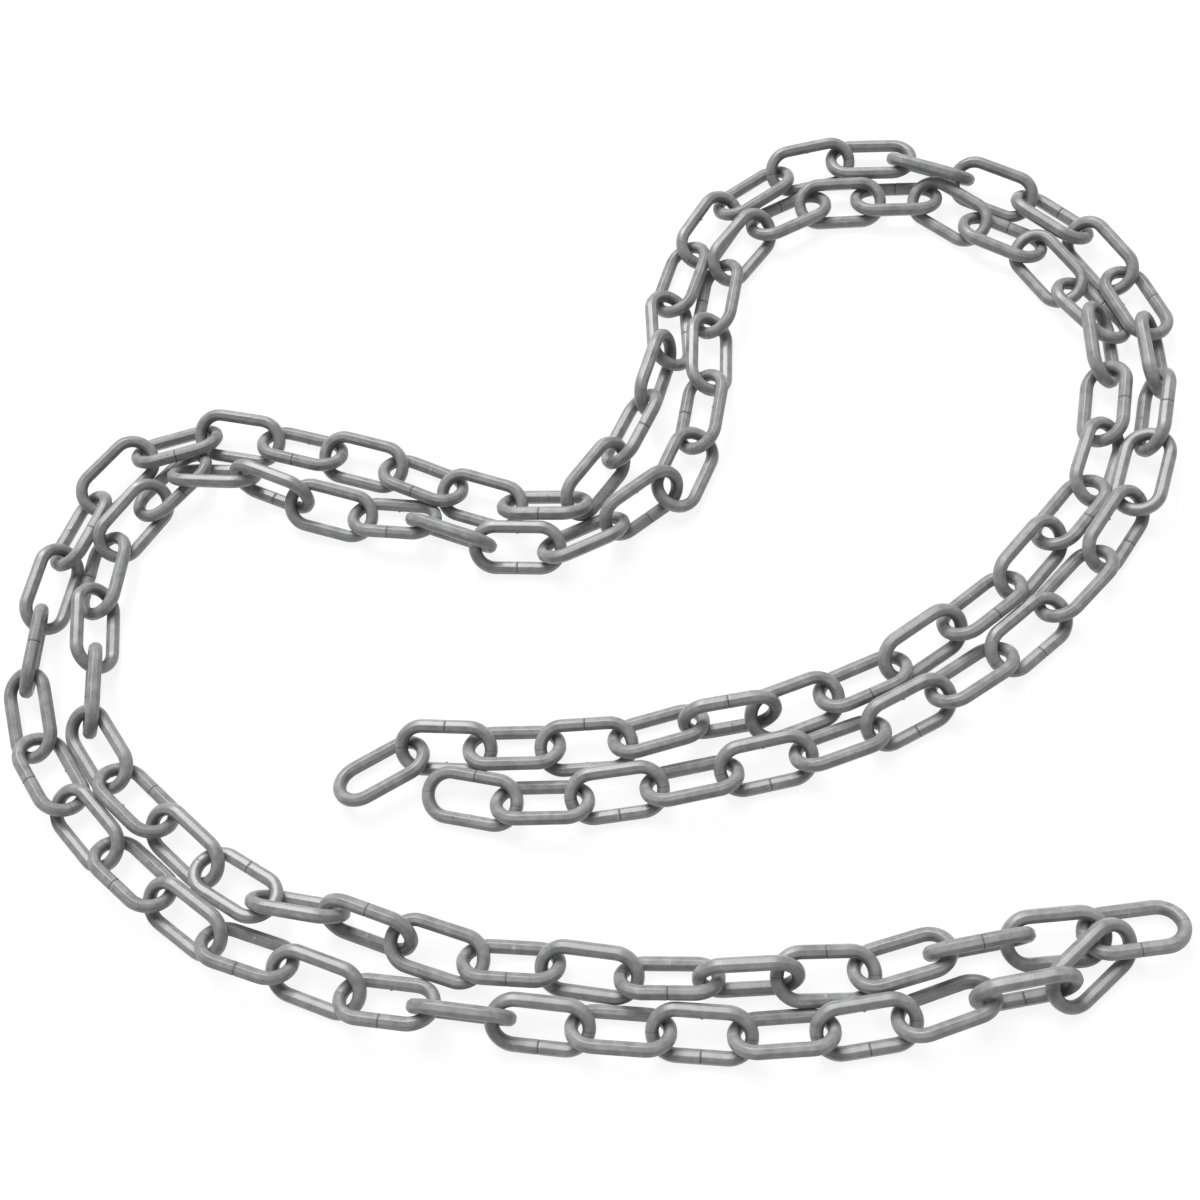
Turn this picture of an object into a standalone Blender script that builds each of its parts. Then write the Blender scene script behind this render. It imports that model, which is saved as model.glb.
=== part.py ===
"""A length of moulded plastic chain, folded in half and laid in a double curve on a level floor.

Every link is a closed loop of stout plastic rod. The two halves of the chain are given by the
places where one link hooks into the next and by the way each link leans. The links are then let
down on the floor, pushed apart where they would run into one another and drawn together where
they hang in one another.
"""

import math

import bmesh
import bpy
import numpy as np

MM = 0.001

# The link, in millimetres
ROD = 6.2
ROD_THICKNESS = 6.5
SECTION_SIDES = 8
INNER_LENGTH = 38.6
OUTER_WIDTH = 28.0
CROWN_STEPS = 4

# Distance between the middle lines of two rods that touch, in millimetres
APART = 6.8
SEAT_RADIUS = 2.4

# Settling: rounds in all, rounds at the end with no place held and with no lean held either,
# the pull in each round, and the share of each move that is made again in the next round
ROUNDS = 900
LOOSE_ROUNDS = 450
DROP = 0.03
HOLD_PLACE = 0.05
HOLD_TURN = 0.05
LOOSE_TURN = 0.2
FREE_ROUNDS = 120
CARRY = 0.75
REACH = 60.0
TURN_INERTIA = np.array([80.0, 220.0, 290.0])

# The rows below are places on a level LEVEL mm over the floor, as seen from the point EYE
EYE = np.array([89.1, -361.3, 759.2])
LEVEL = 8.2

# Where the link of the row ends and hooks into the next one, in millimetres on the floor, and its
# lean in degrees, positive with the left bar up as seen on the way to the fold. A fourth value
# is how far the link has slipped towards the fold, a fifth how far it is lifted, both in
# millimetres. The first row of each half is its free end.
FIRST_HALF = (
    (-117.5, -105, 0), (-88, -87, -33), (-55.5, -88.5, 48), (-21, -87, -30), (13.5, -84, 36),
    (48, -75, -40), (83.5, -69, 72), (116, -57, 35), (149.5, -43, -33), (179.5, -20.5, 58),
    (207.5, 2, -27), (231.5, 31.5, 56), (253, 57.5, -29), (263, 89, 50), (270, 122.5, -40),
    (269.5, 158, 45), (251, 184, 27), (231.5, 213.5, -30), (202, 227, 22), (175.5, 248, -24),
    (141.5, 248, 29), (110, 247, -10), (81, 231, 17), (57, 201, -50), (51.5, 163.5, 46),
    (54.5, 123, -46), (48.5, 85, 41), (35.5, 57, -45), (7, 36, -55), (-24.5, 21, 33),
    (-58.5, 24, -52), (-93.5, 40, 68), (-128.5, 45.5, 22), (-165, 58, -35), (-197, 75.5, -80),
    (-229, 79, 42), (-246.5, 59.5, 23), (-266.5, 27.5, -58), (-268.5, -2.5, 25),
    (-265.5, -36.5, -66), (-264.5, -74.5, 60), (-243, -103, 30), (-215.5, -126, -39),
    (-187, -150.5, 40), (-155.5, -168, -36), (-118.5, -171.5, -56), (-84, -184, 63),
    (-50, -194, 22), (-16, -194, -40), (23, -198.5, 45), (60, -198.5, -48), (97.5, -194, 63),
    (134.5, -193.5, 52), (171, -183, -40), (209, -174, -76), (240, -172, 42),
)
SECOND_HALF = (
    (-80, -106.5, 0), (-43.5, -113, 16), (-8.5, -113, -35), (27, -107, 44), (62.5, -99, -32),
    (98.5, -90.5, 50), (134, -79, -32), (166.5, -62, 56), (197.5, -40, -29), (225, -15.5, 33),
    (253, 14, -31), (274.5, 48, 47), (285, 80, -33), (293.5, 117.5, -62), (290.5, 155.5, 56),
    (277.5, 185, 10, -2), (257, 217.5, -35), (228, 244, 38), (193.5, 261, -35),
    (160.5, 275, 46), (124.5, 277.5, 8, 0, 5), (88, 270, -40), (54.5, 245, 22),
    (38.5, 209, -44), (28.5, 170.5, 30), (31, 139.5, -44), (22, 101.5, -60), (4.5, 65, 50),
    (-10, 41.5, -62), (-42.5, 46.5, 44), (-72, 55, -35), (-106, 70, 22), (-142, 80.5, -35),
    (-177.5, 89.5, 26), (-216.5, 97, -35), (-253.5, 88, 40), (-280, 55.5, -35), (-291, 20.5, 28),
    (-297.5, -15, -70), (-296.5, -51, 62), (-285.5, -88.5, 30), (-262, -118, -24),
    (-234.5, -145, 27), (-205, -168, -20), (-175.5, -189, 45), (-139, -197.5, -36),
    (-107, -209, 33), (-72, -212.5, -36), (-32.5, -215, -80), (5, -219, 43), (43.5, -221, -41),
    (80.5, -223, 45), (117, -219, -41), (153.5, -212, 45), (189, -198, -31), (225, -190, 77),
    (246, -169, 46, 0, 5),
)
FOLD_LINK = (238.5, -171), (275.5, -164.5, -25, 0, 5)
LINKS_PER_RUN = 2

# The moulded plastic
PLASTIC_COLOUR = (0.30, 0.30, 0.30, 1.0)
PLASTIC_ROUGHNESS = 0.42
SMOOTH_ANGLE = math.radians(60)


def clear_scene():
    for obj in list(bpy.data.objects):
        bpy.data.objects.remove(obj, do_unlink=True)


def collection(name):
    made = bpy.data.collections.new(name)
    bpy.context.scene.collection.children.link(made)
    return made


def plastic():
    made = bpy.data.materials.new("grey_plastic")
    made.use_nodes = True
    shader = made.node_tree.nodes["Principled BSDF"]
    shader.inputs["Base Color"].default_value = PLASTIC_COLOUR
    shader.inputs["Roughness"].default_value = PLASTIC_ROUGHNESS
    shader.inputs["Metallic"].default_value = 0.0
    return made


def middle_line():
    """The middle line of a link's rod, in the plane of the link and lengthwise along X."""
    radius = (OUTER_WIDTH - ROD) / 2
    straight = INNER_LENGTH / 2 + ROD / 2 - radius
    points = []
    for end in (1, -1):
        for step in range(CROWN_STEPS + 1):
            angle = math.pi / 2 - math.pi * step / CROWN_STEPS
            x = end * (straight + radius * math.cos(angle))
            points.append((x, end * radius * math.sin(angle), 0.0))
    return np.array(points)


def laid(start, end):
    """Centre and axes (length, width, normal) of a link laid from start to end."""
    lean, slip, lift = (*end[2:], 0, 0)[:3]
    along = np.array([end[0] - start[0], end[1] - start[1], 0.0])
    along /= np.linalg.norm(along)
    left = np.cross([0.0, 0.0, 1.0], along)
    angle = math.radians(lean)
    across = math.cos(angle) * left + math.sin(angle) * np.array([0.0, 0.0, 1.0])
    height = ROD / 2 + (OUTER_WIDTH - ROD) / 2 * abs(math.sin(angle)) + lift
    centre = np.array([(start[0] + end[0]) / 2, (start[1] + end[1]) / 2, height]) + slip * along
    return centre, np.stack([along, across, np.cross(along, across)], axis=1)


def laid_out():
    """Every link as first laid: the first half, the second half and the link at the fold."""
    rows = []
    for half in (FIRST_HALF, SECOND_HALF):
        for start, end in zip(half[:-1], half[1:]):
            rows.append(laid(start, end))
    rows.append(laid(*FOLD_LINK))
    centres, axes = zip(*rows)
    return np.array(centres), np.array(axes)


def hooks():
    """The pairs of links that hang in one another."""
    first = len(FIRST_HALF) - 1
    second = len(SECOND_HALF) - 1
    fold = first + second
    pairs = [(i, i + 1) for i in range(first - 1)]
    pairs += [(first + i, first + i + 1) for i in range(second - 1)]
    return pairs + [(first - 1, fold), (fold - 1, fold)]


def runs():
    """Which links are made as one solid, by name: the end links and the fold link stand alone."""
    first = len(FIRST_HALF) - 1
    second = len(SECOND_HALF) - 1
    found = {"fold_link": [first + second]}
    for name, start, count in (("first", 0, first), ("second", first, second)):
        found[f"{name}_end_link"] = [start]
        for at in range(1, count, LINKS_PER_RUN):
            members = list(range(at, min(at + LINKS_PER_RUN, count)))
            numbers = "_".join(f"{i + 1:02d}" for i in members)
            found[f"{name}_half_links_{numbers}"] = [start + i for i in members]
    return found


def nearest_points(p, u, q, v):
    """The nearest points of the segments p to p + u and q to q + v, for many pairs at once."""
    w = p - q
    a, b, c = (u * u).sum(-1), (u * v).sum(-1), (v * v).sum(-1)
    d, e = (u * w).sum(-1), (v * w).sum(-1)
    spread = a * c - b * b
    s = np.where(spread > 1e-9, (b * e - c * d) / np.maximum(spread, 1e-9), 0.5)
    t = np.clip((b * np.clip(s, 0, 1) + e) / c, 0, 1)
    s = np.clip((b * t - d) / a, 0, 1)
    return p + s[..., None] * u, q + t[..., None] * v


def in_sight(wanted, height):
    """Where the line of sight to each wanted place meets the height of the link's own centre."""
    nearer = (EYE[2] - height) / (EYE[2] - LEVEL)
    return EYE[:2] + (wanted[:, :2] - EYE[:2]) * nearer[:, None]


def pushes(axes, arms, normals, index):
    """How easily each link turns under a push at the end of the arm, and the turn it makes."""
    twist = np.cross(arms, normals)
    local = np.einsum("nij,ni->nj", axes[index], twist) / TURN_INERTIA
    turn = np.einsum("nij,nj->ni", axes[index], local)
    return (twist * turn).sum(1), turn


def turned(axes, turns):
    """The axes turned by rotation vectors."""
    angle = np.linalg.norm(turns, axis=1)
    unit = turns / np.maximum(angle, 1e-12)[:, None]
    skew = np.zeros((len(axes), 3, 3))
    skew[:, 0, 1], skew[:, 0, 2], skew[:, 1, 2] = -unit[:, 2], unit[:, 1], -unit[:, 0]
    skew -= skew.transpose(0, 2, 1)
    sine = np.sin(angle)[:, None, None]
    cosine = np.cos(angle)[:, None, None]
    return (np.eye(3) + sine * skew + (1 - cosine) * (skew @ skew)) @ axes


def settled(centres, axes, line, hooked):
    """Lets the links down on the floor and pushes them to their right distance apart."""
    wanted_centres, wanted_axes = centres.copy(), axes.copy()
    count = len(centres)
    carried = 0.0
    for turn_number in range(ROUNDS):
        if turn_number % 25 == 0:
            distance = np.linalg.norm(centres[:, None] - centres[None], axis=-1)
            one, other = np.nonzero(np.triu(distance < REACH, 1))
            pairs = list(zip(one.tolist(), other.tolist()))
            tied = np.array([pair in hooked for pair in pairs])
        held = 1.0 if turn_number < ROUNDS - LOOSE_ROUNDS else 0.0
        leaning = max(held, LOOSE_TURN if turn_number < ROUNDS - FREE_ROUNDS else 0.0)
        world = centres[:, None] + np.einsum("nij,kj->nki", axes, line)
        sides = np.roll(world, -1, axis=1) - world
        near, far = nearest_points(world[one][:, :, None], sides[one][:, :, None],
                                   world[other][:, None], sides[other][:, None])
        near = near.reshape(len(pairs), -1, 3)
        far = far.reshape(len(pairs), -1, 3)
        distance = np.linalg.norm(near - far, axis=-1)
        touching = distance < APART
        touching[np.arange(len(pairs)), distance.argmin(1)] |= tied
        which, where = np.nonzero(touching)
        near, far, distance = near[which, where], far[which, where], distance[which, where]
        normals = (near - far) / np.maximum(distance, 1e-6)[:, None]
        a, b = one[which], other[which]
        ease_a, turn_a = pushes(axes, near - centres[a], normals, a)
        ease_b, turn_b = pushes(axes, far - centres[b], normals, b)
        lack = APART - distance
        push = np.where(lack < 0, 0.3 * lack, lack) / (2 + ease_a + ease_b)
        shifts, turns, touches = np.zeros((count, 3)), np.zeros((count, 3)), np.zeros(count)
        np.add.at(shifts, a, push[:, None] * normals)
        np.add.at(shifts, b, -push[:, None] * normals)
        np.add.at(turns, a, push[:, None] * turn_a)
        np.add.at(turns, b, -push[:, None] * turn_b)
        np.add.at(touches, a, 1)
        np.add.at(touches, b, 1)
        sunk = np.maximum(ROD_THICKNESS / 2 - world[:, :, 2], 0)
        link, corner = np.nonzero(sunk)
        upward = np.tile([0.0, 0.0, 1.0], (len(link), 1))
        ease, turn = pushes(axes, world[link, corner] - centres[link], upward, link)
        push = sunk[link, corner] / (1 + ease)
        np.add.at(shifts, link, push[:, None] * upward)
        np.add.at(turns, link, push[:, None] * turn)
        np.add.at(touches, link, 1)
        share = (1.3 / np.maximum(touches, 1))[:, None]
        shifts, turns = shifts * share, turns * share
        held_place = in_sight(wanted_centres, centres[:, 2])
        shifts[:, :2] += held * HOLD_PLACE * (held_place - centres[:, :2])
        shifts[:, 2] -= DROP * max(held, 0.3)
        strayed = sum(np.cross(axes[:, :, k], wanted_axes[:, :, k]) for k in range(3)) / 2
        carried = shifts + (CARRY * carried if turn_number > 60 else 0.0)
        centres = centres + carried
        axes = turned(axes, turns + leaning * HOLD_TURN * strayed)
    return centres, axes


def rod_rings(line):
    """Rings of points round the middle line, in the link's own axes, corners on the true size."""
    before, after = np.roll(line, 1, axis=0), np.roll(line, -1, axis=0)
    into = (line - before) / np.linalg.norm(line - before, axis=1)[:, None]
    out = (after - line) / np.linalg.norm(after - line, axis=1)[:, None]
    middle = into + out
    middle /= np.linalg.norm(middle, axis=1)[:, None]
    stretch = 1 / np.sum(middle * out, axis=1)
    side = np.cross(middle, [0.0, 0.0, 1.0]) * stretch[:, None]
    rings = []
    for step in range(SECTION_SIDES):
        angle = 2 * math.pi * (step + 0.5) / SECTION_SIDES
        across = ROD / 2 * math.cos(angle) * side
        rings.append(line + across + [0.0, 0.0, ROD_THICKNESS / 2 * math.sin(angle)])
    return np.stack(rings, axis=1)


def link_mesh(name, rings):
    mesh = bpy.data.meshes.new(name)
    work = bmesh.new()
    rings = [[work.verts.new(point * MM) for point in ring] for ring in rings]
    for here, there in zip(rings, rings[1:] + rings[:1]):
        for k in range(SECTION_SIDES):
            m = (k + 1) % SECTION_SIDES
            work.faces.new((here[k], here[m], there[m], there[k]))
    bmesh.ops.recalc_face_normals(work, faces=work.faces)
    work.to_mesh(mesh)
    work.free()
    for face in mesh.polygons:
        face.use_smooth = True
    mesh.set_sharp_from_angle(angle=SMOOTH_ANGLE)
    return mesh


def contact(one, other):
    """The middle of the place where two middle lines come nearest."""
    sides, other_sides = np.roll(one, -1, axis=0) - one, np.roll(other, -1, axis=0) - other
    near, far = nearest_points(one[:, None], sides[:, None], other[None], other_sides[None])
    near, far = near.reshape(-1, 3), far.reshape(-1, 3)
    best = np.linalg.norm(near - far, axis=1).argmin()
    return (near[best] + far[best]) / 2


def ball_mesh(name, centre):
    """A small ball that fills the seat of one crown in the next where two links are one solid."""
    mesh = bpy.data.meshes.new(name)
    work = bmesh.new()
    bmesh.ops.create_icosphere(work, subdivisions=1, radius=SEAT_RADIUS * MM)
    bmesh.ops.translate(work, verts=work.verts, vec=centre * MM)
    work.to_mesh(mesh)
    work.free()
    return mesh


def joined_to(made, mesh, helpers):
    """Joins one more closed mesh to the object."""
    extra = bpy.data.objects.new(f"{made.name}_more", mesh)
    extra.hide_render = True
    extra.display_type = "WIRE"
    helpers.objects.link(extra)
    union = made.modifiers.new("join", "BOOLEAN")
    union.operation = "UNION"
    union.solver = "EXACT"
    union.object = extra


def build_runs():
    parts = collection("plastic_chain")
    helpers = collection("joined_links")
    helpers.hide_render = True
    material = plastic()
    line = middle_line()
    centres, axes = laid_out()
    groups = runs()
    centres, axes = settled(centres, axes, line, set(hooks()))
    rings = centres[:, None, None] + np.einsum("nij,rsj->nrsi", axes, rod_rings(line))
    low, high = rings.min(axis=(0, 1, 2)), rings.max(axis=(0, 1, 2))
    shift = np.array([(low[0] + high[0]) / 2, (low[1] + high[1]) / 2, low[2]])
    middles = centres[:, None] + np.einsum("nij,kj->nki", axes, line) - shift
    for name, members in groups.items():
        meshes = [link_mesh(f"{name}_{index}", rings[index] - shift) for index in members]
        made = bpy.data.objects.new(name, meshes[0])
        parts.objects.link(made)
        for one, other, mesh in zip(members, members[1:], meshes[1:]):
            joined_to(made, mesh, helpers)
            seat = contact(middles[one], middles[other])
            joined_to(made, ball_mesh(f"{name}_seat", seat), helpers)
        for mesh in bpy.data.meshes:
            if mesh.name.startswith(name):
                mesh.materials.append(material)


clear_scene()
build_runs()
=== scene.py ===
"""A length of moulded grey plastic chain, folded in half and laid in a double curve.

Every link is drawn by itself: a closed loop of faceted rod with rounder crowns. The links are let
down on the floor and into one another just as the solids of the chain are, so each link lies where
its solid lies.
"""

import logging
import math
from dataclasses import dataclass, field
from enum import Enum
from typing import Optional

import bpy
import numpy as np
from mathutils import Matrix, Vector


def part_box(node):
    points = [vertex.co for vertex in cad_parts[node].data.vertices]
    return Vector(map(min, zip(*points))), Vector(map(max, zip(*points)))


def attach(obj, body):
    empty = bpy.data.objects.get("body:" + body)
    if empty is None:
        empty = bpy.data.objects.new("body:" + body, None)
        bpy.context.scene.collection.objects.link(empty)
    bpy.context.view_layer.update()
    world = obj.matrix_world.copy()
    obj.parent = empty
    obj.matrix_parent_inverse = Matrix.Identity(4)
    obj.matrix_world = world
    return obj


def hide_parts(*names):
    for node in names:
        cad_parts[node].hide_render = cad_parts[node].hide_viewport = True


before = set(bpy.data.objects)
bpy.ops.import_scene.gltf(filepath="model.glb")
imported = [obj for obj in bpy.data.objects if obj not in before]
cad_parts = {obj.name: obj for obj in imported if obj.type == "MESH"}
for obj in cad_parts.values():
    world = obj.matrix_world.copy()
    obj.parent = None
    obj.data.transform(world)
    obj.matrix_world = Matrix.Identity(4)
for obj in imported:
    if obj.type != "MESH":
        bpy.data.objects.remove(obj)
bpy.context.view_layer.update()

log = logging.getLogger("chain")

MM = 0.001
UP = np.array([0.0, 0.0, 1.0])

# Where a link of the row ends and hooks into the next one, in millimetres on the floor, and its
# lean in degrees, positive with the left bar up as seen on the way to the fold. A fourth value
# is how far the link has slipped towards the fold, a fifth how far it is lifted, both in
# millimetres. The first row of each half is its free end.
FIRST_HALF = (
    (-117.5, -105, 0), (-88, -87, -33), (-55.5, -88.5, 48), (-21, -87, -30), (13.5, -84, 36),
    (48, -75, -40), (83.5, -69, 72), (116, -57, 35), (149.5, -43, -33), (179.5, -20.5, 58),
    (207.5, 2, -27), (231.5, 31.5, 56), (253, 57.5, -29), (263, 89, 50), (270, 122.5, -40),
    (269.5, 158, 45), (251, 184, 27), (231.5, 213.5, -30), (202, 227, 22), (175.5, 248, -24),
    (141.5, 248, 29), (110, 247, -10), (81, 231, 17), (57, 201, -50), (51.5, 163.5, 46),
    (54.5, 123, -46), (48.5, 85, 41), (35.5, 57, -45), (7, 36, -55), (-24.5, 21, 33),
    (-58.5, 24, -52), (-93.5, 40, 68), (-128.5, 45.5, 22), (-165, 58, -35), (-197, 75.5, -80),
    (-229, 79, 42), (-246.5, 59.5, 23), (-266.5, 27.5, -58), (-268.5, -2.5, 25),
    (-265.5, -36.5, -66), (-264.5, -74.5, 60), (-243, -103, 30), (-215.5, -126, -39),
    (-187, -150.5, 40), (-155.5, -168, -36), (-118.5, -171.5, -56), (-84, -184, 63),
    (-50, -194, 22), (-16, -194, -40), (23, -198.5, 45), (60, -198.5, -48), (97.5, -194, 63),
    (134.5, -193.5, 52), (171, -183, -40), (209, -174, -76), (240, -172, 42),
)
SECOND_HALF = (
    (-80, -106.5, 0), (-43.5, -113, 16), (-8.5, -113, -35), (27, -107, 44), (62.5, -99, -32),
    (98.5, -90.5, 50), (134, -79, -32), (166.5, -62, 56), (197.5, -40, -29), (225, -15.5, 33),
    (253, 14, -31), (274.5, 48, 47), (285, 80, -33), (293.5, 117.5, -62), (290.5, 155.5, 56),
    (277.5, 185, 10, -2), (257, 217.5, -35), (228, 244, 38), (193.5, 261, -35),
    (160.5, 275, 46), (124.5, 277.5, 8, 0, 5), (88, 270, -40), (54.5, 245, 22),
    (38.5, 209, -44), (28.5, 170.5, 30), (31, 139.5, -44), (22, 101.5, -60), (4.5, 65, 50),
    (-10, 41.5, -62), (-42.5, 46.5, 44), (-72, 55, -35), (-106, 70, 22), (-142, 80.5, -35),
    (-177.5, 89.5, 26), (-216.5, 97, -35), (-253.5, 88, 40), (-280, 55.5, -35), (-291, 20.5, 28),
    (-297.5, -15, -70), (-296.5, -51, 62), (-285.5, -88.5, 30), (-262, -118, -24),
    (-234.5, -145, 27), (-205, -168, -20), (-175.5, -189, 45), (-139, -197.5, -36),
    (-107, -209, 33), (-72, -212.5, -36), (-32.5, -215, -80), (5, -219, 43), (43.5, -221, -41),
    (80.5, -223, 45), (117, -219, -41), (153.5, -212, 45), (189, -198, -31), (225, -190, 77),
    (246, -169, 46, 0, 5),
)
FOLD_LINK = (238.5, -171), (275.5, -164.5, -25, 0, 5)

# The links whose seam is on the right bar, on the way to the fold
FIRST_SEAMS_RIGHT = {*range(8, 27, 2), 38, 40, 48, 50, 54}
SECOND_SEAMS_RIGHT = {*range(3, 20, 2), *range(41, 56, 2)}


class Half(Enum):
    """Which part of the chain a link belongs to."""

    FIRST = "first"
    SECOND = "second"
    FOLD = "fold"


class Bar(Enum):
    """One of the two straight bars of a link, as seen on the way to the fold."""

    LEFT = 1
    RIGHT = -1


@dataclass
class ShownLink:
    """One link of the chain: which it is and where it lies, in millimetres."""

    half: Half
    number: int
    centre: np.ndarray
    axes: np.ndarray

    def name(self) -> str:
        """The name of the link's piece."""
        if self.half is Half.FOLD:
            return "link_at_fold"
        return f"{self.half.value}_half_link_{self.number:02d}"

    def node(self) -> str:
        """The name of the solid that holds this link.

        Returns:
            The node's name: end links and the fold link stand alone, the rest go in pairs.
        """
        if self.half is Half.FOLD:
            return "fold_link"
        if self.number == 1:
            return f"{self.half.value}_end_link"
        low = self.number - self.number % 2
        high = low + 1
        last = len(SECOND_HALF) - 1 if self.half is Half.SECOND else len(FIRST_HALF) - 1
        if high > last:
            return f"{self.half.value}_half_links_{low:02d}"
        return f"{self.half.value}_half_links_{low:02d}_{high:02d}"

    def seam_bar(self) -> Optional[Bar]:
        """Which bar has the seam, where the link was moulded in two goes round its neighbours.

        Returns:
            The bar, or None for a link that was moulded whole.
        """
        if self.half is Half.FOLD:
            return Bar.RIGHT
        whole = 1 if self.half is Half.FIRST else 0
        if self.number % 2 == whole:
            return None
        right = FIRST_SEAMS_RIGHT if self.half is Half.FIRST else SECOND_SEAMS_RIGHT
        return Bar.RIGHT if self.number in right else Bar.LEFT


@dataclass
class RodSection:
    """The eight-sided section of the rod, with rounded corners, in millimetres."""

    width: float = 6.2
    thickness: float = 6.6
    corner_cut: float = 1.8
    sharp: float = 40.0
    round: float = 13.0
    corner_steps: tuple[float, ...] = (-9.0, -4.0, 0.0, 4.0, 9.0)

    def angles(self) -> np.ndarray:
        """The angles round the rod at which it has a point.

        Returns:
            Angles in radians, close together at the eight corners.
        """
        width, thickness, cut = self.width / 2, self.thickness / 2, self.corner_cut
        first = math.degrees(math.atan2(thickness - cut, width))
        second = math.degrees(math.atan2(thickness, width - cut))
        corners = []
        for quarter in range(4):
            pair = (first, second) if quarter % 2 == 0 else (90 - second, 90 - first)
            corners += [90 * quarter + corner for corner in pair]
        found = [corner + step for corner in corners for step in self.corner_steps]
        return np.radians(sorted(found))

    def radii(self, angles: np.ndarray, crown: np.ndarray) -> np.ndarray:
        """How far the rod's surface is from its middle line.

        Args:
            angles: The angles round the rod.
            crown: For each ring, 0 on a straight bar and 1 on a crown.

        Returns:
            One row of distances for each ring.
        """
        facets = np.radians(np.arange(8) * 45.0)
        slope = (self.width + self.thickness) / 2 - self.corner_cut
        reach = np.array([self.width / 2, slope / math.sqrt(2), self.thickness / 2,
                          slope / math.sqrt(2)] * 2)
        toward = np.cos(angles[:, None] - facets[None]) / reach[None]
        toward = np.maximum(toward, 0.0)
        power = self.sharp + (self.round - self.sharp) * crown[:, None, None]
        return np.sum(toward[None] ** power, axis=2) ** (-1 / power[..., 0])


@dataclass
class LinkShape:
    """The size and the mesh of one link, lengthwise along X and with its width along Y."""

    inner_length: float = 38.6
    outer_width: float = 28.0
    crown_steps: int = 24
    bar_places: tuple[float, ...] = (0.25, 0.6, 1.3, 3.2, 5.5, 8.0, 10.2)
    apex_places: tuple[float, ...] = (0.25, 0.7)
    crown_blend: float = 0.6
    section: RodSection = field(default_factory=RodSection)

    @property
    def bend(self) -> float:
        """The radius of the middle line in a crown."""
        return (self.outer_width - self.section.width) / 2

    @property
    def straight(self) -> float:
        """Half the length of a straight bar."""
        return self.inner_length / 2 + self.section.width / 2 - self.bend

    def places(self) -> np.ndarray:
        """The places of the rings along the middle line, from the middle of the left bar.

        Returns:
            Lengths along the middle line, rising.
        """
        half_bar, crown = self.straight, math.pi * self.bend
        side = [0.0, *self.bar_places, half_bar]
        steps = [crown * k / self.crown_steps for k in range(1, self.crown_steps)]
        apex = [crown / 2 + way * place for place in self.apex_places for way in (-1, 1)]
        one_side = side + [half_bar + step for step in sorted(steps + apex)]
        one_side += [half_bar + crown + half_bar - place for place in reversed(side)]
        half_way = 2 * half_bar + crown
        return np.array(one_side[:-1] + [half_way + place for place in one_side[:-1]])

    def course(self, places: np.ndarray) -> tuple[np.ndarray, np.ndarray, np.ndarray]:
        """Points and outward directions of the middle line.

        Args:
            places: Lengths along the middle line.

        Returns:
            The points, the directions that point out of the link, and a crown share from 0 to 1.
        """
        crown_length = math.pi * self.bend
        whole = 2 * self.straight + crown_length
        turn = np.where(places >= whole, -1.0, 1.0)
        along = places % whole
        angle = np.clip((along - self.straight) / self.bend, 0.0, math.pi)
        before = np.minimum(along, self.straight)
        after = np.maximum(along - self.straight - crown_length, 0.0)
        x = before - after + self.bend * np.sin(angle)
        y = self.bend * np.cos(angle)
        points = np.stack([x * turn, y * turn, np.zeros_like(x)], axis=1)
        outward = np.stack([np.sin(angle) * turn, np.cos(angle) * turn, np.zeros_like(x)], axis=1)
        crown = np.clip(np.minimum(angle, math.pi - angle) / self.crown_blend, 0.0, 1.0)
        return points, outward, crown * crown * (3 - 2 * crown)


@dataclass
class Mark:
    """A small flaw left by the mould: a groove across the rod or a nub that stands proud."""

    place: float
    reach: float
    height: float
    around: float | None = None
    spread: float = 0.35


@dataclass
class Marks:
    """The marks of the second moulding, in millimetres and radians."""

    shape: LinkShape
    seam_depth: float = 0.22
    seam_reach: float = 0.28
    apex_depth: float = 0.10
    lip_off: tuple[float, float] = (0.6, 1.3)
    lip_reach: float = 0.3
    lip_height: float = 0.09
    nub_height: float = 0.75
    nub_share: tuple[float, float] = (0.35, 1.0)
    nub_off: float = 0.3
    nub_reach: float = 0.45
    nub_spread: float = 0.16
    nub_turn: tuple[float, float] = (0.38, 0.55)

    def closing(self, seam_bar: Bar, rng: np.random.Generator) -> list[Mark]:
        """The marks of a link that was closed round its neighbours.

        Args:
            seam_bar: The bar with the seam.
            rng: Where the small differences between links come from.

        Returns:
            A seam with a low lip beside it across one bar, a nub on the inner edge of the other
            and a line on each crown.
        """
        whole = 2 * self.shape.straight + math.pi * self.shape.bend
        seam, other = (0.0, whole) if seam_bar is Bar.LEFT else (whole, 0.0)
        found = [Mark(seam, self.seam_reach, -self.seam_depth)]
        found.append(Mark(seam + rng.uniform(*self.lip_off), self.lip_reach, self.lip_height))
        inner_edge = math.pi - rng.choice([-1, 1]) * rng.uniform(*self.nub_turn)
        height = self.nub_height * rng.uniform(*self.nub_share)
        place = other + rng.uniform(-self.nub_off, self.nub_off)
        found.append(Mark(place, self.nub_reach, height, inner_edge, self.nub_spread))
        for crown in (whole / 2, 1.5 * whole):
            found.append(Mark(crown, self.seam_reach, -self.apex_depth))
        return found


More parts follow.
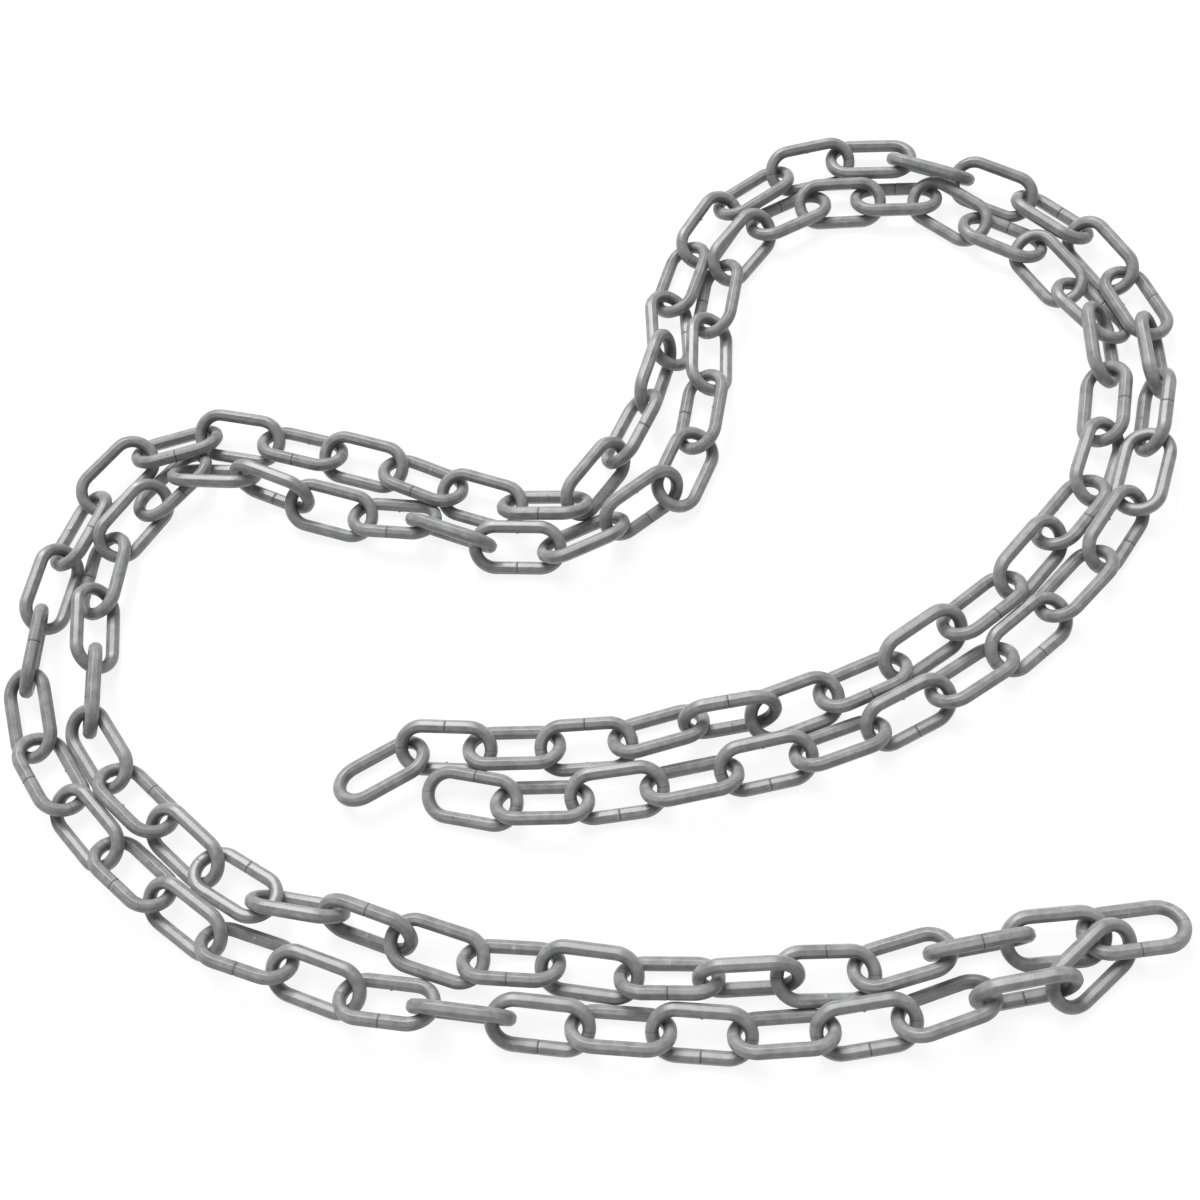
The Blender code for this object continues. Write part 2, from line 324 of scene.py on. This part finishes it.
@dataclass
class LinkMesh:
    """Makes the mesh of a link with its marks."""

    shape: LinkShape
    wave: float = 0.05
    wave_turns: tuple[int, ...] = (2, 3, 5, 8, 13)
    full_seam_depth: float = 0.2
    # How the painted contact shade and rub wear on the crown insides fade towards the outer side.
    seat_gain: float = 1.6
    seat_edge: float = 0.5

    def make(self, name: str, link: ShownLink, marks: list[Mark], shift: np.ndarray,
             rng: np.random.Generator) -> bpy.types.Object:
        """Makes one link where it lies.

        Args:
            name: The name of the piece.
            link: The link's place.
            marks: The marks of the mould on it.
            shift: From the rows' own origin to the chain's.
            rng: Where the small differences between links come from.

        Returns:
            The object, with its mould coordinates, seam, crown shade-and-wear mask and tone as
            attributes.
        """
        places = self.shape.places()
        points, outward, crown = self.shape.course(places)
        angles = self.shape.section.angles()
        radii = self.shape.section.radii(angles, crown)
        radii = radii * (1 + self.waves(places, angles, rng))
        seam = np.zeros_like(radii)
        for mark in marks:
            radii, seam = self.marked(radii, seam, places, angles, mark)
        across = radii * np.cos(angles)
        upward = radii * np.sin(angles)
        rings = points[:, None] + outward[:, None] * across[..., None] + UP * upward[..., None]
        local = rings.reshape(-1, 3)
        world = (link.centre - shift + local @ link.axes.T) * MM
        mesh = bpy.data.meshes.new(name)
        mesh.from_pydata(world.tolist(), [], self.faces(len(places), len(angles)))
        mesh.shade_smooth()
        self.store(mesh, "mould", local * MM, "FLOAT_VECTOR", "vector")
        self.store(mesh, "seam", seam.reshape(-1), "FLOAT", "value")
        # The crown insides, where the neighbouring link sits, get rub wear and painted contact
        # shade in the material.
        inward = np.clip(-np.cos(angles) * self.seat_gain - self.seat_edge, 0.0, 1.0)
        self.store(mesh, "seat_shade_and_wear", (crown[:, None] * inward).reshape(-1), "FLOAT", "value")
        tone = np.full(len(local), rng.uniform(-1.0, 1.0))
        self.store(mesh, "tone", tone, "FLOAT", "value")
        made = bpy.data.objects.new(name, mesh)
        bpy.context.scene.collection.objects.link(made)
        return made

    def waves(self, places: np.ndarray, angles: np.ndarray,
              rng: np.random.Generator) -> np.ndarray:
        """Small unevenness of the rod.

        Args:
            places: The rings' places.
            angles: The points' angles.
            rng: Where the differences between links come from.

        Returns:
            The share by which each point stands out.
        """
        whole = 4 * self.shape.straight + 2 * math.pi * self.shape.bend
        found = np.zeros((len(places), len(angles)))
        for turns in self.wave_turns:
            phase, side = rng.uniform(0, 2 * math.pi, 2)
            along = np.sin(2 * math.pi * turns * places / whole + phase)
            around = np.cos(angles * rng.integers(1, 4) + side)
            found += along[:, None] * around[None] / turns
        return found * self.wave / self.shape.section.width * 2

    def marked(self, radii: np.ndarray, seam: np.ndarray, places: np.ndarray, angles: np.ndarray,
               mark: Mark) -> tuple[np.ndarray, np.ndarray]:
        """Puts one mark on the rod.

        Args:
            radii: Distances from the middle line.
            seam: The share of seam at each point.
            places: The rings' places.
            angles: The points' angles.
            mark: The mark.

        Returns:
            The distances and the seam shares with the mark.
        """
        whole = 4 * self.shape.straight + 2 * math.pi * self.shape.bend
        off = (places - mark.place + whole / 2) % whole - whole / 2
        share = np.exp(-(off / mark.reach) ** 2)[:, None] * np.ones_like(radii)
        if mark.around is not None:
            turn = np.abs((angles - mark.around + math.pi) % (2 * math.pi) - math.pi)
            share = share * np.exp(-(turn / mark.spread) ** 2)[None]
        elif mark.height < 0:
            depth = min(1.0, -mark.height / self.full_seam_depth)
            seam = np.maximum(seam, share * depth)
        return radii + mark.height * share, seam

    @staticmethod
    def faces(rings: int, points: int) -> list[tuple[int, int, int, int]]:
        """The faces of a closed tube.

        Args:
            rings: The number of rings.
            points: The number of points in a ring.

        Returns:
            Four corners for each face, facing out.
        """
        found = []
        for ring in range(rings):
            here, there = ring * points, (ring + 1) % rings * points
            for k in range(points):
                m = (k + 1) % points
                found.append((here + k, here + m, there + m, there + k))
        return found

    @staticmethod
    def store(mesh: bpy.types.Mesh, name: str, values: np.ndarray, kind: str, key: str) -> None:
        """Keeps a value for each point of the mesh.

        Args:
            mesh: The mesh.
            name: The attribute's name.
            values: One value or vector for each point.
            kind: The attribute's type.
            key: Where its data holds the value.
        """
        kept = mesh.attributes.new(name, kind, "POINT")
        kept.data.foreach_set(key, np.asarray(values, np.float32).ravel())


@dataclass
class Settling:
    """Lets the links down on the floor and pushes them to their right distance apart."""

    rod: float = 6.2
    thickness: float = 6.5
    inner_length: float = 38.6
    outer_width: float = 28.0
    crown_steps: int = 4
    apart: float = 6.8
    rounds: int = 900
    loose_rounds: int = 450
    free_rounds: int = 120
    drop: float = 0.03
    hold_place: float = 0.05
    hold_turn: float = 0.05
    loose_turn: float = 0.2
    carry: float = 0.75
    carry_from: int = 60
    pairing_every: int = 25
    pull: float = 0.3
    ease: float = 1.3
    least_drop: float = 0.3
    reach: float = 60.0
    turn_inertia: np.ndarray = field(default_factory=lambda: np.array([80.0, 220.0, 290.0]))
    eye: np.ndarray = field(default_factory=lambda: np.array([89.1, -361.3, 759.2]))
    level: float = 8.2

    def middle_line(self) -> np.ndarray:
        """The middle line of a link's rod in a few points.

        Returns:
            Points in the plane of the link, lengthwise along X.
        """
        radius = (self.outer_width - self.rod) / 2
        straight = self.inner_length / 2 + self.rod / 2 - radius
        points = []
        for end in (1, -1):
            for step in range(self.crown_steps + 1):
                angle = math.pi / 2 - math.pi * step / self.crown_steps
                x = end * (straight + radius * math.cos(angle))
                points.append((x, end * radius * math.sin(angle), 0.0))
        return np.array(points)

    def laid(self, start: tuple, end: tuple) -> tuple[np.ndarray, np.ndarray]:
        """A link as first laid.

        Args:
            start: The row where it begins.
            end: The row where it ends, with its lean and perhaps its slip and its lift.

        Returns:
            Its centre and its axes: length, width and normal.
        """
        lean, slip, lift = (*end[2:], 0, 0)[:3]
        along = np.array([end[0] - start[0], end[1] - start[1], 0.0])
        along /= np.linalg.norm(along)
        left = np.cross([0.0, 0.0, 1.0], along)
        angle = math.radians(lean)
        across = math.cos(angle) * left + math.sin(angle) * np.array([0.0, 0.0, 1.0])
        height = self.rod / 2 + (self.outer_width - self.rod) / 2 * abs(math.sin(angle)) + lift
        centre = np.array([(start[0] + end[0]) / 2, (start[1] + end[1]) / 2, height])
        centre = centre + slip * along
        return centre, np.stack([along, across, np.cross(along, across)], axis=1)

    def laid_out(self) -> tuple[np.ndarray, np.ndarray]:
        """Every link as first laid: the first half, the second half and the link at the fold.

        Returns:
            The centres and the axes.
        """
        rows = []
        for half in (FIRST_HALF, SECOND_HALF):
            for start, end in zip(half[:-1], half[1:]):
                rows.append(self.laid(start, end))
        rows.append(self.laid(*FOLD_LINK))
        centres, axes = zip(*rows)
        return np.array(centres), np.array(axes)

    @staticmethod
    def hooks() -> set[tuple[int, int]]:
        """The pairs of links that hang in one another."""
        first = len(FIRST_HALF) - 1
        second = len(SECOND_HALF) - 1
        fold = first + second
        pairs = [(i, i + 1) for i in range(first - 1)]
        pairs += [(first + i, first + i + 1) for i in range(second - 1)]
        return set(pairs + [(first - 1, fold), (fold - 1, fold)])

    @staticmethod
    def nearest_points(p: np.ndarray, u: np.ndarray, q: np.ndarray,
                       v: np.ndarray) -> tuple[np.ndarray, np.ndarray]:
        """The nearest points of the segments p to p + u and q to q + v.

        Args:
            p: Where the first segments start.
            u: How far they go.
            q: Where the other segments start.
            v: How far they go.

        Returns:
            The nearest points on the first and on the other segments.
        """
        w = p - q
        a, b, c = (u * u).sum(-1), (u * v).sum(-1), (v * v).sum(-1)
        d, e = (u * w).sum(-1), (v * w).sum(-1)
        spread = a * c - b * b
        s = np.where(spread > 1e-9, (b * e - c * d) / np.maximum(spread, 1e-9), 0.5)
        t = np.clip((b * np.clip(s, 0, 1) + e) / c, 0, 1)
        s = np.clip((b * t - d) / a, 0, 1)
        return p + s[..., None] * u, q + t[..., None] * v

    def in_sight(self, wanted: np.ndarray, height: np.ndarray) -> np.ndarray:
        """Where the line of sight to each wanted place meets the link's own height.

        Args:
            wanted: The wanted places.
            height: The heights of the links' centres.

        Returns:
            Places on the floor plan.
        """
        nearer = (self.eye[2] - height) / (self.eye[2] - self.level)
        return self.eye[:2] + (wanted[:, :2] - self.eye[:2]) * nearer[:, None]

    def pushes(self, axes: np.ndarray, arms: np.ndarray, normals: np.ndarray,
               index: np.ndarray) -> tuple[np.ndarray, np.ndarray]:
        """How easily each link turns under a push at the end of the arm.

        Args:
            axes: The axes of all the links.
            arms: From a link's centre to the push.
            normals: The directions of the pushes.
            index: Which link each push is on.

        Returns:
            The ease of turning, and the turn that a push makes.
        """
        twist = np.cross(arms, normals)
        local = np.einsum("nij,ni->nj", axes[index], twist) / self.turn_inertia
        turn = np.einsum("nij,nj->ni", axes[index], local)
        return (twist * turn).sum(1), turn

    @staticmethod
    def turned(axes: np.ndarray, turns: np.ndarray) -> np.ndarray:
        """The axes turned by rotation vectors.

        Args:
            axes: The axes of all the links.
            turns: One rotation vector for each.

        Returns:
            The turned axes.
        """
        angle = np.linalg.norm(turns, axis=1)
        unit = turns / np.maximum(angle, 1e-12)[:, None]
        skew = np.zeros((len(axes), 3, 3))
        skew[:, 0, 1], skew[:, 0, 2], skew[:, 1, 2] = -unit[:, 2], unit[:, 1], -unit[:, 0]
        skew -= skew.transpose(0, 2, 1)
        sine = np.sin(angle)[:, None, None]
        cosine = np.cos(angle)[:, None, None]
        return (np.eye(3) + sine * skew + (1 - cosine) * (skew @ skew)) @ axes

    def settled(self) -> tuple[np.ndarray, np.ndarray]:
        """Lets the links down and pushes them apart.

        Returns:
            The centres and the axes of the links as they come to lie.
        """
        centres, axes = self.laid_out()
        line, hooked = self.middle_line(), self.hooks()
        wanted_centres, wanted_axes = centres.copy(), axes.copy()
        count = len(centres)
        carried = 0.0
        for turn_number in range(self.rounds):
            if turn_number % self.pairing_every == 0:
                distance = np.linalg.norm(centres[:, None] - centres[None], axis=-1)
                one, other = np.nonzero(np.triu(distance < self.reach, 1))
                pairs = list(zip(one.tolist(), other.tolist()))
                tied = np.array([pair in hooked for pair in pairs])
            held = 1.0 if turn_number < self.rounds - self.loose_rounds else 0.0
            loose = self.loose_turn if turn_number < self.rounds - self.free_rounds else 0.0
            leaning = max(held, loose)
            world = centres[:, None] + np.einsum("nij,kj->nki", axes, line)
            sides = np.roll(world, -1, axis=1) - world
            near, far = self.nearest_points(world[one][:, :, None], sides[one][:, :, None],
                                            world[other][:, None], sides[other][:, None])
            near = near.reshape(len(pairs), -1, 3)
            far = far.reshape(len(pairs), -1, 3)
            distance = np.linalg.norm(near - far, axis=-1)
            touching = distance < self.apart
            touching[np.arange(len(pairs)), distance.argmin(1)] |= tied
            which, where = np.nonzero(touching)
            near, far, distance = near[which, where], far[which, where], distance[which, where]
            normals = (near - far) / np.maximum(distance, 1e-6)[:, None]
            a, b = one[which], other[which]
            ease_a, turn_a = self.pushes(axes, near - centres[a], normals, a)
            ease_b, turn_b = self.pushes(axes, far - centres[b], normals, b)
            lack = self.apart - distance
            push = np.where(lack < 0, self.pull * lack, lack) / (2 + ease_a + ease_b)
            shifts, turns = np.zeros((count, 3)), np.zeros((count, 3))
            touches = np.zeros(count)
            np.add.at(shifts, a, push[:, None] * normals)
            np.add.at(shifts, b, -push[:, None] * normals)
            np.add.at(turns, a, push[:, None] * turn_a)
            np.add.at(turns, b, -push[:, None] * turn_b)
            np.add.at(touches, a, 1)
            np.add.at(touches, b, 1)
            sunk = np.maximum(self.thickness / 2 - world[:, :, 2], 0)
            link, corner = np.nonzero(sunk)
            upward = np.tile([0.0, 0.0, 1.0], (len(link), 1))
            ease, turn = self.pushes(axes, world[link, corner] - centres[link], upward, link)
            push = sunk[link, corner] / (1 + ease)
            np.add.at(shifts, link, push[:, None] * upward)
            np.add.at(turns, link, push[:, None] * turn)
            np.add.at(touches, link, 1)
            share = (self.ease / np.maximum(touches, 1))[:, None]
            shifts, turns = shifts * share, turns * share
            held_place = self.in_sight(wanted_centres, centres[:, 2])
            shifts[:, :2] += held * self.hold_place * (held_place - centres[:, :2])
            shifts[:, 2] -= self.drop * max(held, self.least_drop)
            strayed = sum(np.cross(axes[:, :, k], wanted_axes[:, :, k]) for k in range(3)) / 2
            again = self.carry * carried if turn_number > self.carry_from else 0.0
            carried = shifts + again
            centres = centres + carried
            axes = self.turned(axes, turns + leaning * self.hold_turn * strayed)
        return centres, axes


class Signal:
    """A value or colour in a material, which can be used in Python expressions."""

    def __init__(self, board: "Board", socket: bpy.types.NodeSocket) -> None:
        """Wraps a socket of a material."""
        self.board = board
        self.socket = socket

    def _math(self, operation: str, first: object, second: object) -> "Signal":
        """A Math node on two values."""
        made = self.board.node("ShaderNodeMath", {"operation": operation}, {0: first, 1: second})
        return Signal(self.board, made.outputs[0])

    def __add__(self, other: object) -> "Signal":
        """This and other."""
        return self._math("ADD", self, other)

    def __radd__(self, other: object) -> "Signal":
        """Other and this."""
        return self._math("ADD", other, self)

    def __sub__(self, other: object) -> "Signal":
        """This less other."""
        return self._math("SUBTRACT", self, other)

    def __rsub__(self, other: object) -> "Signal":
        """Other less this."""
        return self._math("SUBTRACT", other, self)

    def __mul__(self, other: object) -> "Signal":
        """This times other."""
        return self._math("MULTIPLY", self, other)

    def __rmul__(self, other: object) -> "Signal":
        """Other times this."""
        return self._math("MULTIPLY", other, self)

    def clamped(self) -> "Signal":
        """This, kept from 0 to 1."""
        made = self.board.node("ShaderNodeClamp", {}, {"Value": self})
        return Signal(self.board, made.outputs[0])


class Board:
    """The nodes of one material."""

    def __init__(self, name: str) -> None:
        """Starts a material with an empty shader."""
        self.material = bpy.data.materials.new(name)
        self.material.use_nodes = True
        self.tree = self.material.node_tree
        self.shader = self.tree.nodes["Principled BSDF"]

    def node(self, kind: str, settings: dict, inputs: dict) -> bpy.types.Node:
        """Adds a node.

        Args:
            kind: The node's type.
            settings: What is set on the node itself; a ramp's stops go under "stops".
            inputs: Values or signals by socket name or number.

        Returns:
            The node.
        """
        made = self.tree.nodes.new(kind)
        for key, value in settings.items():
            if key == "stops":
                self.set_stops(made, value)
            else:
                setattr(made, key, value)
        for key, value in inputs.items():
            self.feed(made.inputs[key], value)
        return made

    @staticmethod
    def set_stops(ramp: bpy.types.Node, stops: tuple) -> None:
        """Sets the stops of a colour ramp.

        Args:
            ramp: The ramp node.
            stops: Pairs of place and grey.
        """
        elements = ramp.color_ramp.elements
        while len(elements) < len(stops):
            elements.new(0.5)
        for element, (place, grey) in zip(elements, stops):
            element.position = place
            element.color = (grey, grey, grey, 1.0)

    def feed(self, socket: bpy.types.NodeSocket, value: object) -> None:
        """Gives a socket a value or a link.

        Args:
            socket: The socket.
            value: A number, a tuple or a signal.
        """
        if isinstance(value, Signal):
            self.tree.links.new(value.socket, socket)
        else:
            socket.default_value = value

    def attribute(self, name: str, vector: bool = False) -> Signal:
        """A value kept on the mesh.

        Args:
            name: The attribute's name.
            vector: Whether it is a vector.

        Returns:
            The signal.
        """
        made = self.node("ShaderNodeAttribute", {"attribute_name": name}, {})
        return Signal(self, made.outputs["Vector" if vector else "Fac"])

    def noise(self, where: Signal, scale: float, detail: float, rough: float = 0.5) -> Signal:
        """Cloudy noise.

        Args:
            where: The coordinates.
            scale: How fine it is.
            detail: How many finer layers it has.
            rough: How strong they are.

        Returns:
            The signal, around one half.
        """
        values = {"Vector": where, "Scale": scale, "Detail": detail, "Roughness": rough}
        made = self.node("ShaderNodeTexNoise", {}, values)
        return Signal(self, made.outputs["Fac"])

    def ramp(self, value: Signal, stops: tuple) -> Signal:
        """A value led through a ramp.

        Args:
            value: The value.
            stops: Pairs of place and grey.

        Returns:
            The signal.
        """
        made = self.node("ShaderNodeValToRGB", {"stops": stops}, {"Fac": value})
        return Signal(self, made.outputs["Color"])

    def mixed(self, share: object, first: object, second: object) -> Signal:
        """A mix of two colours.

        Args:
            share: How much of the second.
            first: The first colour.
            second: The second colour.

        Returns:
            The signal.
        """
        values = {0: share, 6: first, 7: second}
        made = self.node("ShaderNodeMix", {"data_type": "RGBA"}, values)
        return Signal(self, made.outputs[2])

    def output(self, node: bpy.types.Node, key: object = 0) -> Signal:
        """An output of a node as a signal."""
        return Signal(self, node.outputs[key])


@dataclass(frozen=True)
class MouldedPlastic:
    """Grey plastic as it comes from the mould: cloudy, with a soft sheen, dark seams, and crown
    insides darkened by rub wear and painted contact shade.
    """

    grey: tuple[float, ...] = (0.232, 0.232, 0.234, 1.0)
    pale: tuple[float, ...] = (0.318, 0.318, 0.321, 1.0)
    deep: tuple[float, ...] = (0.145, 0.145, 0.147, 1.0)
    seam: tuple[float, ...] = (0.035, 0.035, 0.037, 1.0)
    speck: tuple[float, ...] = (0.07, 0.07, 0.072, 1.0)
    # Dark grey for the crown insides: rub wear and painted contact shade.
    rubbed_and_shaded: tuple[float, ...] = (0.075, 0.075, 0.077, 1.0)
    roughness: float = 0.35
    shine: float = 0.55

    def material(self) -> bpy.types.Material:
        """Builds the material.

        Returns:
            The material.
        """
        board = Board("moulded_grey_plastic")
        place = board.output(board.node("ShaderNodeTexCoord", {}, {}), "Object")
        mould = board.attribute("mould", vector=True)
        seam = board.attribute("seam")
        tone = board.attribute("tone")
        clouds = board.noise(place, 170.0, 3.0, 0.6)
        flow_place = board.output(board.node(
            "ShaderNodeVectorMath", {"operation": "MULTIPLY"},
            {0: mould, 1: (0.18, 1.0, 1.0)}))
        flow = board.noise(flow_place, 900.0, 2.0)
        grain = board.noise(place, 2600.0, 2.0)
        cloudy = board.ramp(clouds, ((0.32, 0.0), (0.68, 1.0)))
        body = board.mixed(cloudy, self.deep, self.pale)
        body = board.mixed(0.45, body, self.grey)
        lift = (flow - 0.5) * 0.30 + (grain - 0.5) * 0.22 + tone * 0.035 + 1.0
        body = self.scaled(board, body, lift)
        specks = board.ramp(board.noise(place, 900.0, 1.0), ((0.70, 0.0), (0.76, 1.0)))
        body = board.mixed(specks * 0.55, body, self.speck)
        # Painted contact shade with rub wear: the crown insides, where links hook into one
        # another, are darkened.
        seat_shade_and_wear = board.attribute("seat_shade_and_wear")
        body = board.mixed((seat_shade_and_wear * (clouds + 0.25)).clamped(), body, self.rubbed_and_shaded)
        body = board.mixed((seam * 0.95).clamped(), body, self.seam)
        board.feed(board.shader.inputs["Base Color"], body)
        rough = self.roughness + (clouds - 0.5) * 0.16 + (grain - 0.5) * 0.10 + seam * 0.3
        board.feed(board.shader.inputs["Roughness"], rough)
        board.shader.inputs["Specular IOR Level"].default_value = self.shine
        height = flow * 0.5 + grain * 0.35 + clouds * 0.8
        bump = board.node("ShaderNodeBump", {}, {
            "Strength": 0.6, "Distance": 0.00014, "Height": height})
        board.feed(board.shader.inputs["Normal"], board.output(bump))
        return board.material

    @staticmethod
    def scaled(board: Board, colour: Signal, share: Signal) -> Signal:
        """A colour made lighter or darker by a share."""
        made = board.node("ShaderNodeVectorMath", {"operation": "SCALE"},
                          {0: colour, "Scale": share})
        return board.output(made)


@dataclass(frozen=True)
class PaleFloor:
    """A plain, nearly white studio floor, lit from below so that it shows hardly any shadow."""

    colour: tuple[float, ...] = (0.14, 0.14, 0.14, 1.0)
    glow: tuple[float, ...] = (0.87, 0.87, 0.87, 1.0)
    side: float = 12.0

    def build(self) -> bpy.types.Object:
        """Lays the floor.

        Returns:
            The floor.
        """
        half = self.side / 2
        mesh = bpy.data.meshes.new("floor")
        corners = [(-half, -half, 0), (half, -half, 0), (half, half, 0), (-half, half, 0)]
        mesh.from_pydata(corners, [], [(0, 1, 2, 3)])
        floor = bpy.data.objects.new("floor", mesh)
        bpy.context.scene.collection.objects.link(floor)
        board = Board("pale_floor")
        board.shader.inputs["Base Color"].default_value = self.colour
        board.shader.inputs["Roughness"].default_value = 1.0
        board.shader.inputs["Specular IOR Level"].default_value = 0.0
        board.shader.inputs["Emission Color"].default_value = self.glow
        board.shader.inputs["Emission Strength"].default_value = 1.0
        mesh.materials.append(board.material)
        return floor


@dataclass(frozen=True)
class Studio:
    """The camera at the photo's angle, and soft light from above and behind."""

    eye: tuple[float, ...] = (89.1, -361.3, 759.2)
    right: tuple[float, ...] = (0.99447, 0.04493, -0.09488)
    forward: tuple[float, ...] = (-0.10498, 0.42562, -0.89879)
    lens: float = 49.5
    sensor: float = 36.0
    world_light: float = 0.32
    sun_strength: float = 3.3
    sun_spread: float = 45.0
    sun_from: tuple[float, ...] = (-0.25, 0.6, 1.0)
    box_from: tuple[float, ...] = (-0.5, 1.0, 1.2)
    box_power: float = 8.0
    box_size: float = 0.3

    def build(self, shift: np.ndarray) -> None:
        """Sets up the camera, the lamps and the surrounding light.

        Args:
            shift: From the rows' own origin to the chain's, in millimetres.
        """
        self.camera(shift)
        self.lamp("wide_light", "SUN", self.sun_from, self.sun_strength)
        self.lamp("soft_box", "AREA", self.box_from, self.box_power)
        world = bpy.data.worlds.new("surroundings")
        world.use_nodes = True
        world.node_tree.nodes["Background"].inputs["Color"].default_value = (1, 1, 1, 1)
        world.node_tree.nodes["Background"].inputs["Strength"].default_value = self.world_light
        bpy.context.scene.world = world
        bpy.context.scene.view_settings.view_transform = "Standard"

    def camera(self, shift: np.ndarray) -> None:
        """Places the camera.

        Args:
            shift: From the rows' own origin to the chain's, in millimetres.
        """
        right, forward = Vector(self.right).normalized(), Vector(self.forward).normalized()
        up = right.cross(forward)
        data = bpy.data.cameras.new("camera")
        data.lens, data.sensor_width = self.lens, self.sensor
        data.clip_start, data.clip_end = 0.01, 50.0
        made = bpy.data.objects.new("camera", data)
        bpy.context.scene.collection.objects.link(made)
        turn = Matrix((right, up, -forward)).transposed().to_4x4()
        place = Vector((np.array(self.eye) - shift) * MM)
        made.matrix_world = Matrix.Translation(place) @ turn
        bpy.context.scene.camera = made

    def lamp(self, name: str, kind: str, source: tuple[float, ...], power: float) -> None:
        """Adds a lamp that looks at the middle of the chain.

        Args:
            name: The lamp's name.
            kind: SUN or AREA.
            source: Where it stands, in metres.
            power: Its strength or power.
        """
        data = bpy.data.lights.new(name, kind)
        data.energy = power
        if kind == "SUN":
            data.angle = math.radians(self.sun_spread)
        else:
            data.shape, data.size = "DISK", self.box_size
        made = bpy.data.objects.new(name, data)
        bpy.context.scene.collection.objects.link(made)
        made.location = source
        made.rotation_mode = "QUATERNION"
        made.rotation_quaternion = (-Vector(source)).to_track_quat("-Z", "Y")


@dataclass
class Chain:
    """The whole chain: its links, their marks and their finish."""

    settling: Settling = field(default_factory=Settling)
    shape: LinkShape = field(default_factory=LinkShape)
    finish: MouldedPlastic = field(default_factory=MouldedPlastic)
    seed: int = 7

    def links(self) -> tuple[list[ShownLink], np.ndarray]:
        """The links where they come to lie.

        Returns:
            The links, and the shift from the rows' own origin to the chain's, in millimetres.
        """
        centres, axes = self.settling.settled()
        first, second = len(FIRST_HALF) - 1, len(SECOND_HALF) - 1
        found = []
        for index, (centre, turn) in enumerate(zip(centres, axes)):
            if index < first:
                found.append(ShownLink(Half.FIRST, index + 1, centre, turn))
            elif index < first + second:
                found.append(ShownLink(Half.SECOND, index - first + 1, centre, turn))
            else:
                found.append(ShownLink(Half.FOLD, 1, centre, turn))
        low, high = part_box("fold_link")
        shift = found[-1].centre - np.array((low + high) / 2) / MM
        for link in (found[0], found[first]):
            low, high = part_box(link.node())
            off = link.centre - np.array((low + high) / 2) / MM - shift
            log.info("%s is %.2f mm off its solid", link.name(), float(np.linalg.norm(off)))
        return found, shift

    def build(self) -> np.ndarray:
        """Makes and dresses every link.

        Returns:
            The shift from the rows' own origin to the chain's, in millimetres.
        """
        links, shift = self.links()
        material = self.finish.material()
        maker, marks = LinkMesh(self.shape), Marks(self.shape)
        rng = np.random.default_rng(self.seed)
        for link in links:
            seam_bar = link.seam_bar()
            found = marks.closing(seam_bar, rng) if seam_bar else []
            made = maker.make(link.name(), link, found, shift, rng)
            made.data.materials.append(material)
            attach(made, "root")
            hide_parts(link.node())
        log.info("%d links", len(links))
        return shift


def main() -> None:
    """Builds the chain, the floor and the studio."""
    logging.basicConfig(level=logging.INFO, format="%(message)s")
    shift = Chain().build()
    PaleFloor().build()
    Studio().build(shift)


if __name__ == "__main__":
    main()
